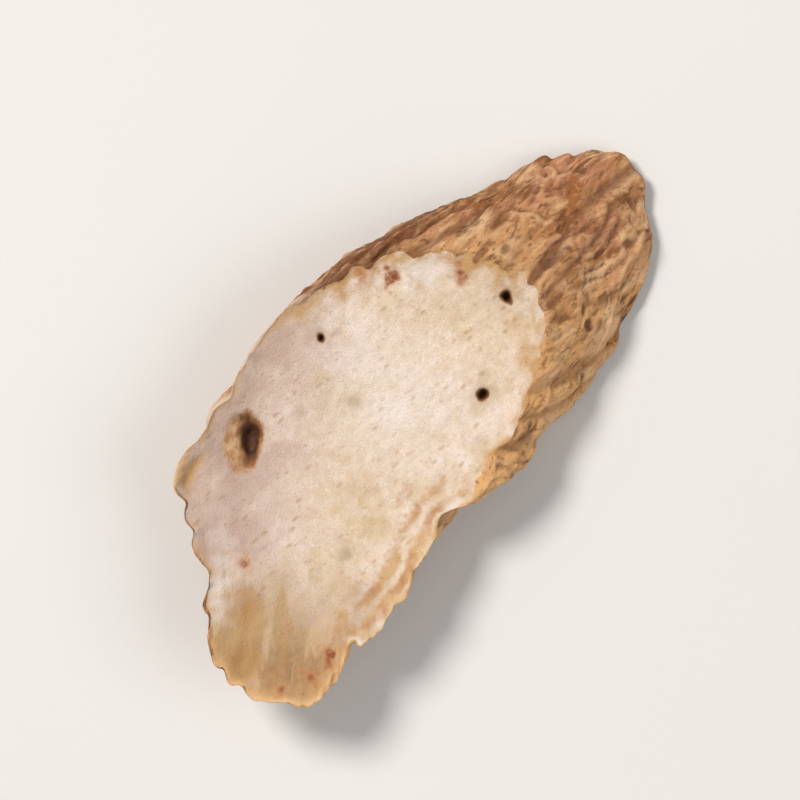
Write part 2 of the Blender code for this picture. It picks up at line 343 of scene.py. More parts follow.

# Tints over the flesh and the skin, mostly stains, with some painted light and shade: mark, strength,
# and red, green and blue on a screen
FLESH_RIM_STAINS = (
    ("ridge", 0.9, (238, 216, 176)), ("crease", 0.9, (182, 136, 74)),
    ("tooth", 0.6, (238, 206, 158)), ("rim_line", 0.85, (240, 190, 136)),
)
# The whitish mark is partly lighter flesh, partly a painted highlight inside the upper rim
FLESH_SPECK_STAINS = (("pale_and_highlight", 0.7, (240, 228, 220)), ("grey", 0.7, (160, 130, 100)))
# The skin's dark band is partly darker skin, partly painted shade of the neighbouring slices
SKIN_BAND_STAINS = (("dark_skin_and_shade_band", 0.75, (108, 58, 30)), ("light_rim", 0.85, (218, 166, 112)))
SKIN_RIM_STAINS = (
    ("bare_rim", 0.85, (222, 196, 172)), ("ridge", 0.8, (232, 196, 150)),
    ("tooth", 0.6, (236, 196, 140)),
)

# Middle of a noise's values, and a dot's full middle per radius
NOISE_MIDDLE = 0.5
DOT_MIDDLE = 0.35

# Least roughness, what noise adds to it, and the finest bumps
ROUGHNESS = 0.52
ROUGHNESS_RANGE = 0.3
BUMP_DEPTH = 0.06 * MM
BUMP_STRENGTH = 0.9
CRUMPLE_SHARE = 1.6

# Stage: the photo looks straight down, and the slice's tip points up and to the right
FLOOR_SIZE = 3.0
FLOOR_DROP = 0.03 * MM
FLOOR_ROUGHNESS = 0.8
CAMERA_HEIGHT = 0.5
VIEW_WIDTH = 34.5 * MM
PHOTO_TURN = math.radians(-56.0)

# Lamps: name, place, diameter, watts, tint
LAMPS = (
    ("key", (0.02, 0.34, 0.44), 0.18, 2.5, (1.0, 0.97, 0.93)),
    ("fill", (0.10, -0.36, 0.38), 0.40, 0.75, (0.96, 0.98, 1.0)),
)
SKY_STRENGTH = 0.32


def closed_curve(points_mm, turn):
    """Points on the smooth closed curve through the outline, at turns from 0 to 1."""
    points = np.array(points_mm) * MM
    count = len(points)
    place = (turn % 1.0) * count
    index = np.floor(place).astype(int)
    f = (place - index)[:, None]
    a, b, c, d = (points[(index + k) % count] for k in (-1, 0, 1, 2))
    bend = 2.0 * a - 5.0 * b + 4.0 * c - d
    twist = 3.0 * (b - c) + d - a
    return b + 0.5 * f * (c - a + f * (bend + f * twist))


def smooth_rim(turn, depth_share):
    """Points of the ungrooved skin, depth share running from 0 at the upper cut to 1."""
    face = closed_curve(FACE_OUTLINE_MM, turn)
    foot = closed_curve(FOOT_OUTLINE_MM, turn)
    return face + (foot - face) * depth_share[:, None]


def rod_axis(depth_share):
    """Points on the rod's axis, level with the skin at these depth shares."""
    return FACE_CENTRE + ROD_RUN * depth_share[:, None]


def unit(vectors):
    length = np.linalg.norm(vectors, axis=-1, keepdims=True)
    return vectors / np.maximum(length, SMALLEST_LENGTH)


def turn_gap(turn, place):
    """Shortest way round the rim from a place to each turn."""
    return (turn - place + 0.5) % 1.0 - 0.5


def fade(distance, power=2):
    """Share that falls from 1 at distance 0 towards 0 beyond distance 1."""
    return np.exp(-np.abs(distance) ** power)


def outward(turn, depth_share):
    """Level directions that point away from the rod."""
    along = smooth_rim(turn + TURN_STEP, depth_share) - smooth_rim(turn - TURN_STEP, depth_share)
    return unit(np.stack((along[:, 1], -along[:, 0]), axis=1))


def waves(points, seed=0.0, octaves=1):
    """Smooth random waves over points that are given in wave lengths."""
    start = Vector((seed, 0.0, 0.0))
    if octaves == 1:
        return np.array([noise.noise(Vector(point) + start) for point in points])
    return np.array([noise.fractal(Vector(point) + start, 1.0, 2.0, octaves) for point in points])


def rod_angle(turn):
    """Angle round the rod's own axis."""
    run = smooth_rim(turn, np.zeros_like(turn)) - FACE_CENTRE
    squash = THICKNESS / math.hypot(THICKNESS, np.linalg.norm(ROD_RUN))
    return np.arctan2(run[:, 1], run[:, 0] * squash)


def on_ring(angle, radius, height):
    """Points on a ring, so that waves over them meet after a full turn."""
    return np.stack((radius * np.cos(angle), radius * np.sin(angle), height), axis=1)


def groove(angle, depth_share):
    """Depth of the skin's grooves, which run along the rod."""
    sway = waves(on_ring(angle, SWAY_WAVES, SWAY_RUN * depth_share))
    varied = waves(on_ring(angle, VARIATION_WAVES, VARIATION_RUN * depth_share), VARIATION_SEED)
    strength = np.maximum(GROOVE_STRENGTH + GROOVE_VARIATION * varied, WEAKEST_GROOVE)
    ridge = np.hypot(np.sin(0.5 * WRINKLES * angle + WRINKLE_SWAY * sway), VALLEY_WIDTH)
    return WRINKLE_DEPTH * (1.0 - WRINKLE_FADE * depth_share) * strength * (1.0 - ridge)


def notch(turn, depth_share):
    """Depth of the notches, which fade down the skin."""
    total = np.zeros_like(turn)
    for place, depth, width in NOTCHES:
        total += depth * fade(turn_gap(turn, place) / width)
    return total * (1.0 - NOTCH_FADE * depth_share)


def swelling(turn, depth_share):
    """Height of the swollen stretch of skin beside the notch on the long side."""
    beside = turn_gap(turn, SWELLING_TURN) / SWELLING_WIDTH
    below = (depth_share - SWELLING_SHARE) / SWELLING_LENGTH
    return SWELLING_HEIGHT * fade(np.hypot(beside, below))


def skin_offset(turn, depth_share):
    """Level shifts of the skin along its spokes, from grooves, knobs and notches."""
    place = smooth_rim(turn, depth_share)
    spoke = unit(place - rod_axis(depth_share))
    away = outward(turn, depth_share)
    zero, one = np.zeros_like(turn), np.ones_like(turn)
    run = smooth_rim(turn, one) - smooth_rim(turn, zero)
    lean = np.hypot(THICKNESS, (run * away).sum(axis=1)) / THICKNESS
    lean = np.minimum(lean, STEEPEST_LEAN)
    solid_place = np.column_stack((place, THICKNESS * depth_share))
    knob = waves(solid_place / KNOB_SIZE)
    depth = groove(rod_angle(turn), depth_share) - KNOB_HEIGHT * knob
    flatness = np.maximum((spoke * away).sum(axis=1), FLATTEST_SPOKE)
    total = lean * depth + notch(turn, depth_share) - swelling(turn, depth_share)
    return -spoke * (total / flatness)[:, None]


def curl(place):
    """Rise of the dried, warped slice above its middle."""
    x, y = (place - SLICE_CENTRE).T
    return END_CURL * (x / HALF_LENGTH) ** 2 + SIDE_CURL * (y / HALF_WIDTH) ** 2


def undulation(place, seed):
    """Slow waves of a cut face."""
    return UNDULATION * waves(np.column_stack((place / UNDULATION_SIZE, np.full(len(place), seed))))


def face_height(place, share):
    dish = DISH_DEPTH * (1.0 - share ** 2) - LIP_HEIGHT * share ** LIP_POWER
    return THICKNESS + curl(place) + undulation(place, FACE_SEED) - dish


def base_height(place, share):
    return np.maximum(0.0, curl(place) + undulation(place, BASE_SEED) - RESTING_DEPTH)


def cut_points(turn, share, centre, depth_share, height):
    """Points of a cut face, share running from 0 at its centre to 1 at the rim."""
    depth = np.full_like(turn, depth_share)
    place = centre + (smooth_rim(turn, depth) - centre) * share[:, None]
    place = place + skin_offset(turn, depth) * (share ** RIM_FADE)[:, None]
    return np.column_stack((place, height(place, share)))


def rind_points(turn, share, top_z, low_z):
    """Points of the skin, share running from 0 at the upper rim to 1 at the lower one."""
    belly = RIND_BULGE * 4.0 * share * (1.0 - share)
    place = smooth_rim(turn, share) + skin_offset(turn, share)
    place = place + outward(turn, share) * belly[:, None]
    return np.column_stack((place, top_z + (low_z - top_z) * share))


def disc_grid():
    """A square grid pulled round into a disc: its turns and shares, one per grid point."""
    sides = [np.linspace(-1.0, 1.0, cells + 1) for cells in CELLS]
    x, y = (axis.ravel() for axis in np.meshgrid(*sides, indexing="ij"))
    u = x * np.sqrt(1.0 - y * y / 2.0)
    v = y * np.sqrt(1.0 - x * x / 2.0)
    return (np.arctan2(v, u) / math.tau) % 1.0, np.minimum(np.hypot(u, v), 1.0)


def grid_index(i, j):
    return i * (CELLS[1] + 1) + j


def grid_border():
    """Grid points round the square's border, anticlockwise."""
    along, across = CELLS
    border = [grid_index(i, 0) for i in range(along)]
    border += [grid_index(along, j) for j in range(across)]
    border += [grid_index(along - i, across) for i in range(along)]
    return border + [grid_index(0, across - j) for j in range(across)]


def slice_grid():
    """Turns, shares and region of every point, with the cells that join them."""
    turn, share = disc_grid()
    count = len(turn)
    border = grid_border()
    rows = np.arange(1, RIND_ROWS) / RIND_ROWS
    rind_turn = np.tile(turn[border], len(rows))
    rind_share = np.repeat(rows, len(border))
    turns = np.concatenate((turn, turn, rind_turn))
    shares = np.concatenate((share, share, rind_share))
    region = np.repeat((FACE, BASE, RIND), (count, count, len(rind_turn)))

    cells = []
    for i in range(CELLS[0]):
        for j in range(CELLS[1]):
            corner = [grid_index(i, j), grid_index(i + 1, j)]
            corner += [grid_index(i + 1, j + 1), grid_index(i, j + 1)]
            cells.append(corner)
            cells.append([count + index for index in reversed(corner)])
    rings = [border]
    for row in range(len(rows)):
        first = 2 * count + row * len(border)
        rings.append(list(range(first, first + len(border))))
    rings.append([count + index for index in border])
    for upper, lower in zip(rings, rings[1:]):
        for a in range(len(border)):
            b = (a + 1) % len(border)
            cells.append([lower[a], lower[b], upper[b], upper[a]])
    return turns, shares, region, np.array(cells)


def plain_slice(turn, share, region):
    """Points of the slice's form, as in the part's own source."""
    points = np.zeros((len(turn), 3))
    face, base, rind = (region == kind for kind in (FACE, BASE, RIND))
    points[face] = cut_points(turn[face], share[face], FACE_CENTRE, 0.0, face_height)
    points[base] = cut_points(turn[base], share[base], FOOT_CENTRE, 1.0, base_height)
    border = np.array(grid_border())
    rows = RIND_ROWS - 1
    top_z = np.tile(points[border, 2], rows)
    low_z = np.tile(points[border + face.sum(), 2], rows)
    points[rind] = rind_points(turn[rind], share[rind], top_z, low_z)
    return points


def vertex_normals(points, cells):
    corner = points[cells]
    normal = np.cross(corner[:, 2] - corner[:, 0], corner[:, 3] - corner[:, 1])
    total = np.zeros_like(points)
    for k in range(4):
        np.add.at(total, cells[:, k], normal)
    return unit(total)


def smooth_step(start, full, value):
    """Share that rises smoothly from 0 at the start to 1 at the full value."""
    f = np.clip((value - start) / (full - start), 0.0, 1.0)
    return f * f * (3.0 - 2.0 * f)


def around(turn, stretch):
    """Share of a soft stretch of the rim."""
    middle, half_width = stretch
    return fade(turn_gap(turn, middle) / half_width, power=4)


def ragged(points, size, unevenness, least, largest, seed, octaves=2):
    """Uneven factors about 1 that make the edge of a mark ragged."""
    return np.clip(1.0 + unevenness * waves(points / size, seed, octaves), least, largest)


def flat(place):
    """The places at height 0, where waves don't change with the height."""
    return np.column_stack((place, np.zeros(len(place))))


def along_and_across(place, run):
    """Level distances along a direction and across it."""
    x, y = place[:, 0], place[:, 1]
    return x * run[0] + y * run[1], y * run[0] - x * run[1]


def heading(degrees):
    angle = math.radians(degrees)
    return np.array((math.cos(angle), math.sin(angle)))


class Form:
    """Points and cells of the slice, and where on it each point lies."""

    def __init__(self):
        self.turn, self.share, region, self.cells = slice_grid()
        self.points = plain_slice(self.turn, self.share, region)
        self.upper, self.lower, self.rind = (region == kind for kind in (FACE, BASE, RIND))
        self.depth_share = np.where(self.rind, self.share, np.where(self.lower, 1.0, 0.0))
        self.angle = rod_angle(self.turn)
        self.gap = self.rim_gap()

    def rim_gap(self):
        """Distance from each point of a cut face to its rim, and 0 on the skin."""
        spoke = smooth_rim(self.turn, self.depth_share) - rod_axis(self.depth_share)
        away = outward(self.turn, self.depth_share)
        slant = np.abs((unit(spoke) * away).sum(axis=1))
        gap = np.linalg.norm(spoke, axis=1) * slant * (1.0 - self.share)
        return np.where(self.rind, 0.0, gap)


def skin_share(form):
    """Share of skin: 1 on the skin, fading over the rim, wider at the frays."""
    reach = np.full_like(form.turn, SKIN_REACH)
    for place, half_width, extra in FRAYS:
        reach += np.where(form.upper, extra, 0.0) * fade(turn_gap(form.turn, place) / half_width)
    reach = reach * ragged(form.points, *SKIN_EDGE)
    return np.where(form.rind, 1.0, smooth_step(*SKIN_FADE, form.gap / reach))


def cortex_share(form):
    """Share of the ochre outer flesh beside the rim, widest towards the tip."""
    width = np.full_like(form.turn, CORTEX_WIDTH)
    for stretch, extra in CORTEX_STRETCHES:
        width += extra * around(form.turn, stretch)
    width *= ragged(form.points, *CORTEX_EDGE)
    return np.where(form.rind, 1.0, fade(form.gap / width, SOFT_EDGE_POWER))


def edge_share(form):
    """Share of the tan bands that run along the rim on the long lower side."""
    wander = waves(form.points / EDGE_WAVE_SIZE, seed=19.0, octaves=2)
    phase = form.gap / EDGE_STRIPE_PITCH + EDGE_WANDER * wander
    stripe = (0.5 - 0.5 * np.cos(math.tau * phase)) ** EDGE_STRIPE_POWER
    width = EDGE_BAND_WIDTH * np.clip(1.0 + wander, *EDGE_WIDTH_RANGE)
    share = stripe * fade(form.gap / width) * around(form.turn, EDGE_STRETCH)
    return np.where(form.upper, share, 0.0)


def rim_line(form):
    """Light line on the very rim of the narrow end."""
    share = around(form.turn, RIM_LINE_STRETCH) * fade(form.gap / RIM_LINE_WIDTH)
    return np.where(form.upper, share, 0.0)


def under_rim(form, depths, stretches):
    """Stretches of the skin just under the upper rim, which fade between two depth shares."""
    share = np.maximum.reduce([around(form.turn, stretch) for stretch in stretches])
    return share * (1.0 - smooth_step(*depths, form.depth_share))


def worn_rim(form):
    """Yellow tan strip of skin just under the upper rim, on the side of the tip."""
    depth = WORN_DEPTH * ragged(form.points, *WORN_EDGE)
    return around(form.turn, WORN_STRETCH) * fade(form.depth_share / depth, SOFT_EDGE_POWER)


def teeth(form):
    """Outward height of the rim's scallops, and their pattern from 0 between them to 1."""
    ring = on_ring(math.tau * form.turn, TOOTH_SWAY_WAVES, np.zeros_like(form.turn))
    sway = TOOTH_SWAY * waves(ring, seed=17.0)
    pattern = np.abs(np.sin(math.pi * (TEETH * form.turn + sway))) ** TOOTH_POWER
    reach = np.exp(-(form.gap + form.depth_share * THICKNESS) / TOOTH_REACH)
    strength = np.where(form.lower, 0.0, reach * around(form.turn, TEETH_STRETCH))
    return TOOTH_HEIGHT * strength * (pattern - TOOTH_LEVEL), pattern * strength


def flap(form):
    """Shares of the curled flap's ridge and of the crease behind it."""
    beside = np.where(form.lower, 0.0, around(form.turn, FLAP_STRETCH))
    ridge = beside * fade(form.gap / RIDGE_WIDTH) * (1.0 - form.depth_share) ** FLAP_FADE
    crease = beside * fade((form.gap - CREASE_GAP) / CREASE_WIDTH)
    return ridge, np.where(form.upper, crease, 0.0)


def fine_creases(angle, length):
    """Fine height of the creases along the rod, at lengths down it."""
    sway = waves(on_ring(angle, FINE_SWAY_WAVES, length / FINE_SWAY_LENGTH), seed=2.0)
    varied = waves(on_ring(angle, FINE_VARIATION_WAVES, length / FINE_VARIATION_LENGTH), seed=3.0)
    strength = np.clip(FINE_STRENGTH + FINE_VARIATION * varied, 0.0, STRONGEST_CREASE)
    ridge = np.hypot(np.sin(0.5 * FINE_WRINKLES * angle + FINE_SWAY * sway), FINE_VALLEY_WIDTH)
    return -FINE_WRINKLE_DEPTH * strength * (1.0 - ridge)


def bark_and_specks(angle, length):
    """Fine height of the bark and of the specks on it."""
    bark = on_ring(angle, ROD_RADIUS / BARK_WIDTH, length / BARK_LENGTH)
    speck = on_ring(angle, ROD_RADIUS / SPECK_SIZE, length / SPECK_SIZE)
    height = BARK_HEIGHT * waves(bark, seed=7.0, octaves=3)
    return height + SPECK_HEIGHT * waves(speck, seed=9.0, octaves=2)


def ring_scars(angle, length):
    """Fine height of the broken rings round the rod."""
    level = np.zeros_like(length)
    wander = RING_WANDER * waves(on_ring(angle, RING_WANDER_WAVES, level), seed=4.0)
    variation = RING_VARIATION * waves(on_ring(angle, RING_VARIATION_WAVES, level), seed=6.0)
    strength = RING_HEIGHT * np.clip(RING_STRENGTH + variation, 0.0, STRONGEST_RING)
    height = np.zeros_like(length)
    for place in RING_SCARS:
        off = (length - place - wander) / RING_WIDTH
        height += strength * (fade(off) - RING_GROOVE_DEPTH * fade(off - RING_GROOVE_GAP))
    return height


def root_scars(form):
    """Fine height of the round scars that rootlets left."""
    rind = np.flatnonzero(form.rind)
    height = np.zeros_like(form.turn)
    for place, depth_share, radius in ROOT_SCARS:
        gap = np.abs(turn_gap(form.turn[rind], place))
        gap += TURNS_PER_DEPTH * np.abs(form.depth_share[rind] - depth_share)
        middle = form.points[rind[np.argmin(gap)]]
        off = np.linalg.norm(form.points - middle, axis=1) / radius
        rim, dip = fade((off - 1.0) / ROOT_RIM_WIDTH), fade(off / ROOT_DIP_WIDTH)
        height += ROOT_SCAR_HEIGHT * (rim - ROOT_DIP_DEPTH * dip)
    return height


def skin_relief(form):
    """Fine height of the skin."""
    length = form.depth_share * np.linalg.norm((*ROD_RUN, THICKNESS))
    height = fine_creases(form.angle, length) + bark_and_specks(form.angle, length)
    return height + ring_scars(form.angle, length) + root_scars(form)


def flesh_relief(points):
    """Fine height of the cut flesh: mealy grain and the knife's faint streaks."""
    grain = GRAIN_HEIGHT * waves(points / GRAIN_SIZE, seed=12.0, octaves=3)
    across, along = along_and_across(points, heading(KNIFE_DEGREES))
    streak = np.column_stack((across / KNIFE_PITCH, along / KNIFE_LENGTH, points[:, 2] / MM))
    return grain + KNIFE_DEPTH * waves(streak, seed=13.0, octaves=2)


def hollow_share(place):
    """Share of the brown stain of the pit and the pores, which darkens into painted shade deep down,
    and how deep they are at each place.
    """
    uneven = waves(flat(place) / HOLLOW_WAVE_SIZE, seed=14.0)
    uneven += HOLLOW_FINE_SHARE * waves(flat(place) / HOLLOW_FINE_SIZE, seed=28.0)
    share, sink = np.zeros(len(place)), np.zeros(len(place))
    for centre, (half_length, half_width, depth), degrees, narrowing in HOLLOWS:
        along, across = along_and_across(place / MM - np.array(centre), heading(degrees))
        along, across = along / half_length, across / half_width
        taper = 1.0 + narrowing * np.clip(along, -1.0, 1.0)
        off = np.hypot(along, across / taper) * (1.0 + HOLLOW_UNEVENNESS * uneven)
        share = np.maximum(share, smooth_step(*HOLLOW_STAIN, off))
        sink = np.maximum(sink, depth * MM * smooth_step(*HOLLOW_WALL, off))
    return share, sink


def bowl_share(place):
    """Share of the bowl round the pit, and of its depth, which grows from one side to the other."""
    along, across = along_and_across(place - BOWL_PLACE, heading(BOWL_DEGREES))
    along, across = along / BOWL_HALF_SIZE[0], across / BOWL_HALF_SIZE[1]
    uneven = 1.0 + BOWL_UNEVENNESS * waves(flat(place) / BOWL_WAVE_SIZE, seed=15.0)
    share = smooth_step(*BOWL_EDGE, np.hypot(along, across) * uneven)
    return share, share * smooth_step(*BOWL_SLOPE, across)


def furrow_share(place):
    """Nearness to the wandering furrow at the narrow end, 1 in its middle."""
    start, end = FURROW
    run = end - start
    wander = FURROW_WANDER * waves(flat(place) / FURROW_WAVE_SIZE, seed=18.0)
    f = np.clip(((place - start) @ run) / (run @ run), 0.0, 1.0)
    off = np.linalg.norm(place - start - f[:, None] * run, axis=1) + wander
    return fade(off / FURROW_WIDTH) * smooth_step(0.0, FURROW_START, f)


def lobe_streaks(place):
    """Streaks along the furrow's run at the narrow end, from about -1 to 1."""
    start, end = FURROW
    along, across = along_and_across(place, unit(end - start))
    streak = waves(flat(np.column_stack((across / STREAK_PITCH, along / STREAK_LENGTH))), 20.0, 4)
    return STREAK_STRENGTH * streak * smooth_step(*STREAK_START, place[:, 0])


def patches(form, seed, *spots_by_part, stretch=1.0):
    """Soft ragged patches, stretched along the rod: each part's points with its spots."""
    place = form.points[:, :2]
    uneven = ragged(flat(place), *PATCH_EDGE, seed, octaves=3)
    total = np.zeros(len(place))
    for part, spots in spots_by_part:
        for x, y, radius, strength in spots:
            along, across = along_and_across(place / MM - np.array((x, y)), unit(ROD_RUN))
            off = np.hypot(along / stretch, across * math.sqrt(stretch)) / radius
            total = np.maximum(total, part * strength * fade(off * uneven))
    return total


def raise_relief(form):
    """Gives the form its fine relief. Returns the marks that go with it."""
    place = form.points[:, :2]
    normals = vertex_normals(form.points, form.cells)
    skin, bark, flesh = skin_share(form), skin_relief(form), flesh_relief(form.points)
    hollow, sink = hollow_share(place)
    bowl, bowl_slope = bowl_share(place)
    cuts = (hollow, furrow_share(place), bowl, np.maximum(sink, BOWL_DEPTH * bowl_slope))
    hollow, furrow, bowl, sink = (np.where(form.upper, share, 0.0) for share in cuts)
    height = bark * skin + flesh * (1.0 - skin) - FURROW_DEPTH * furrow
    form.points += normals * height[:, None]
    tooth_height, tooth = teeth(form)
    form.points[:, :2] += outward(form.turn, form.depth_share) * tooth_height[:, None]
    ridge, crease = flap(form)
    form.points[:, 2] += FLAP_HEIGHT * ridge - CREASE_DEPTH * crease - sink
    form.points[:, 2] = np.maximum(form.points[:, 2], 0.0)
    return {
        "skin": skin, "bark": bark / BARK_HEIGHT, "hollow": hollow, "furrow": furrow,
        "bowl": bowl, "bowl_slope": bowl_slope, "tooth": tooth, "ridge": ridge, "crease": crease,
    }


def flesh_marks(form):
    """Marks of the two cut faces, for the flesh's colours."""
    x, y = form.points[:, 0], form.points[:, 1]
    return {
        "tan_end": smooth_step(*TAN_END, x + TAN_LEAN * y),
        "mauve_and_shade_side": smooth_step(*MAUVE_AND_SHADE_SIDE, y + MAUVE_AND_SHADE_LEAN * x),
        "lobe_streak": lobe_streaks(form.points[:, :2]),
        "cortex": cortex_share(form),
        "edge_band": edge_share(form),
        "rim_line": rim_line(form),
        "red": patches(form, 21.0, (form.upper, RED_SPOTS), (form.lower, BASE_RED_SPOTS)),
        "grey": patches(form, 22.0, (form.upper, GREY_SPECKS), (form.lower, BASE_GREY_SPECKS)),
        "yellow": patches(form, 23.0, (form.upper, YELLOW_PATCHES), (form.lower, BASE_YELLOW_PATCHES)),
        "pale_and_highlight": patches(form, 24.0, (form.upper, PALE_AND_HIGHLIGHT_PATCHES)),
    }


def skin_marks(form):
    """Marks of the skin, for its colours."""
    return {
        "valley": groove(form.angle, form.depth_share) / WRINKLE_DEPTH,
        "light_rim": under_rim(form, LIGHT_RIM_FADE, LIGHT_RIM_STRETCHES),
        "bare_rim": under_rim(form, BARE_FADE, BARE_STRETCHES),
        "worn_rim": worn_rim(form),
        "dark_skin_and_shade_band": around(form.turn, DARK_SKIN_AND_SHADE_STRETCH),
        "painted_light_side": around(form.turn, PAINTED_LIGHT_STRETCH),
        "dark_spot": patches(form, 25.0, (form.rind, SKIN_DARK_SPOTS), stretch=SPOT_STRETCH),
        "light_spot": patches(form, 26.0, (form.rind, SKIN_LIGHT_SPOTS), stretch=SPOT_STRETCH),
    }


def to_frame(points):
    """Shift that puts the frame's origin under the slice's middle, level with its underside."""
    low, high = points.min(axis=0), points.max(axis=0)
    return np.array((*(low + high)[:2] / -2.0, -low[2]))


def round_rims(mesh):
    """Softens the two sharp rims."""
    surface = bmesh.new()
    surface.from_mesh(mesh)
    surface.verts.ensure_lookup_table()
    count = (CELLS[0] + 1) * (CELLS[1] + 1)
    rim = {surface.verts[index + face] for index in grid_border() for face in (0, count)}
    axes = {"use_axis_x": True, "use_axis_y": True, "use_axis_z": True}
    for _ in range(RIM_ROUNDING):
        bmesh.ops.smooth_vert(surface, verts=list(rim), factor=RIM_SOFTNESS, **axes)
        rim.update([edge.other_vert(vertex) for vertex in list(rim) for edge in vertex.link_edges])
    surface.to_mesh(mesh)
    surface.free()


def add_object(name, data):
    """A new object in the scene."""
    made = bpy.data.objects.new(name, data)
    bpy.context.scene.collection.objects.link(made)
    return made


def build_slice():
    form = Form()
    shift = to_frame(form.points)
    marks = raise_relief(form) | flesh_marks(form) | skin_marks(form)
    mesh = bpy.data.meshes.new("dried_slice")
    mesh.from_pydata((form.points + shift).tolist(), [], form.cells.tolist())
    for name, values in marks.items():
        layer = mesh.attributes.new(name, "FLOAT", "POINT")
        layer.data.foreach_set("value", values.astype(np.float32))
    round_rims(mesh)
    mesh.shade_smooth()
    mesh.materials.append(slice_material())
    piece = add_object("dried_slice", mesh)
    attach(piece, "root")
    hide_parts("slice")


def srgb(red, green, blue):
    """A shader colour from the 0 to 255 values that a screen shows."""
    shares = [channel / 255.0 for channel in (red, green, blue)]
    return (*(((c + 0.055) / 1.055) ** 2.4 if c > 0.04045 else c / 12.92 for c in shares), 1.0)


class Look:
    """Short names for the nodes of one material."""

    def __init__(self, name):
        self.material = bpy.data.materials.new(name)
        self.material.use_nodes = True
        self.tree = self.material.node_tree
        self.shader = self.tree.nodes["Principled BSDF"]

    def node(self, kind, inputs=None, **settings):
        """A shader node with its settings made and its inputs set or linked."""
        made = self.tree.nodes.new("ShaderNode" + kind)
        for key, value in settings.items():
            setattr(made, key, value)
        self.fill(made, inputs or {})
        return made

    def fill(self, node, inputs):
        """Sets a node's inputs to values, or links them to where the values come from."""
        for key, value in inputs.items():
            if isinstance(value, bpy.types.NodeSocket):
                self.tree.links.new(value, node.inputs[key])
            else:
                node.inputs[key].default_value = value

    def mark(self, name, *limits):
        """A mark, or its smooth rise from 0 to 1 between two limits."""
        value = self.node("Attribute", attribute_name=name).outputs["Fac"]
        return self.ramp(value, *limits) if limits else value

    def math(self, operation, a, b):
        return self.node("Math", {0: a, 1: b}, operation=operation).outputs[0]

    def plus(self, a, b):
        return self.math("ADD", a, b)

    def less(self, a, b):
        return self.math("SUBTRACT", a, b)

    def times(self, a, b):
        return self.math("MULTIPLY", a, b)

    def place(self, size, stretch=1.0, seed=0.0):
        """Places in steps of a size, longer by the stretch along the rod."""
        inputs = {
            "Vector": self.node("TexCoord").outputs["Object"],
            "Location": (seed * MM, 0.0, 0.0),
            "Rotation": ROD_DIRECTION.to_track_quat("Z", "Y").to_euler(),
            "Scale": (size, size, size * stretch),
        }
        return self.node("Mapping", inputs, vector_type="TEXTURE").outputs[0]

    def noise(self, size, stretch=1.0, detail=3.0, roughness=0.5, distortion=0.0, seed=0.0):
        inputs = {
            "Vector": self.place(size, stretch, seed),
            "Scale": 1.0, "Detail": detail, "Roughness": roughness, "Distortion": distortion,
        }
        return self.node("TexNoise", inputs).outputs["Fac"]

    def cloud(self, size, start, full, **settings):
        """Share of soft clouds, which start and are full at two values of the noise."""
        return self.ramp(self.noise(size, **settings), start, full)

    def jitter(self, size, **settings):
        """Noise about 0, which makes the edge of a mark ragged."""
        return self.less(self.noise(size, **settings), NOISE_MIDDLE)

    def dots(self, size, radius, seed=0.0):
        """Dots of bundles that run along the rod, 1 at their middles."""
        inputs = {"Vector": self.place(size, 1.0, seed), "Scale": 1.0}
        made = self.node("TexVoronoi", inputs, voronoi_dimensions="2D")
        return self.ramp(made.outputs["Distance"], radius, radius * DOT_MIDDLE)

    def ramp(self, value, start, full):
        """Smooth rise from 0 at the start to 1 at the full value."""
        inputs = {"Value": value, "From Min": start, "From Max": full}
        return self.node("MapRange", inputs, interpolation_type="SMOOTHSTEP").outputs[0]

    def mix(self, factor, a, b):
        """A mix of two colours, each one a node's or a screen's red, green and blue."""
        a, b = (srgb(*colour) if isinstance(colour, tuple) else colour for colour in (a, b))
        return self.node("Mix", {0: factor, 6: a, 7: b}, data_type="RGBA").outputs[2]

    def stain(self, colour, share, strength, tint):
        """The colour with a tint over it, as strong as the share times the strength."""
        return self.mix(self.times(share, strength), colour, tint)

    def stain_marks(self, colour, stains):
        """The colour with a tint over each mark, in the listed order."""
        for name, strength, tint in stains:
            colour = self.stain(colour, self.mark(name), strength, tint)
        return colour


def flesh_ground(look, grain):
    """Cream flesh with warm clouds, mauve clouds towards the upper-left rim that are partly painted
    shade, a tan narrow end and a mealy grain.
    """
    cloud = look.cloud(3.6 * MM, 0.32, 0.68)
    colour = look.mix(cloud, (244, 226, 213), (232, 209, 183))
    warm = look.cloud(1.4 * MM, 0.47, 0.68, seed=31.0)
    colour = look.stain(colour, warm, 0.55, (220, 194, 152))
    chalk = look.cloud(0.16 * MM, 0.52, 0.70, roughness=0.6, seed=41.0)
    colour = look.stain(colour, chalk, 0.40, (250, 240, 228))
    # Mauve tint towards the upper-left rim, partly painted shade of the neighbouring slices
    mauve = look.cloud(2.2 * MM, 0.35, 0.65, seed=47.0)
    mauve = look.plus(look.times(mauve, 0.5), 0.5)
    colour = look.stain(colour, look.mark("mauve_and_shade_side"), mauve, (188, 158, 144))
    colour = look.mix(look.mark("tan_end"), colour, (158, 118, 76))
    dark_streak = look.mark("lobe_streak", 0.05, 0.70)
    colour = look.stain(colour, dark_streak, 0.6, (178, 130, 74))
    light_streak = look.mark("lobe_streak", -0.05, -0.70)
    colour = look.stain(colour, light_streak, 0.6, (222, 190, 158))
    colour = look.stain(colour, grain, 0.28, (198, 164, 136))
    meal = look.cloud(0.10 * MM, 0.42, 0.68, detail=2.0, roughness=0.6, seed=37.0)
    return look.stain(colour, meal, 0.18, (186, 150, 118))


def bundle_dots(look, colour):
    """Tan dots of the cut bundles, in scattered clouds."""
    present = look.cloud(0.9 * MM, 0.45, 0.62, stretch=3.0, detail=2.0, seed=63.0)
    dots = look.times(look.dots(0.58 * MM, 0.20), present)
    return look.stain(colour, dots, 0.5, (176, 134, 96))


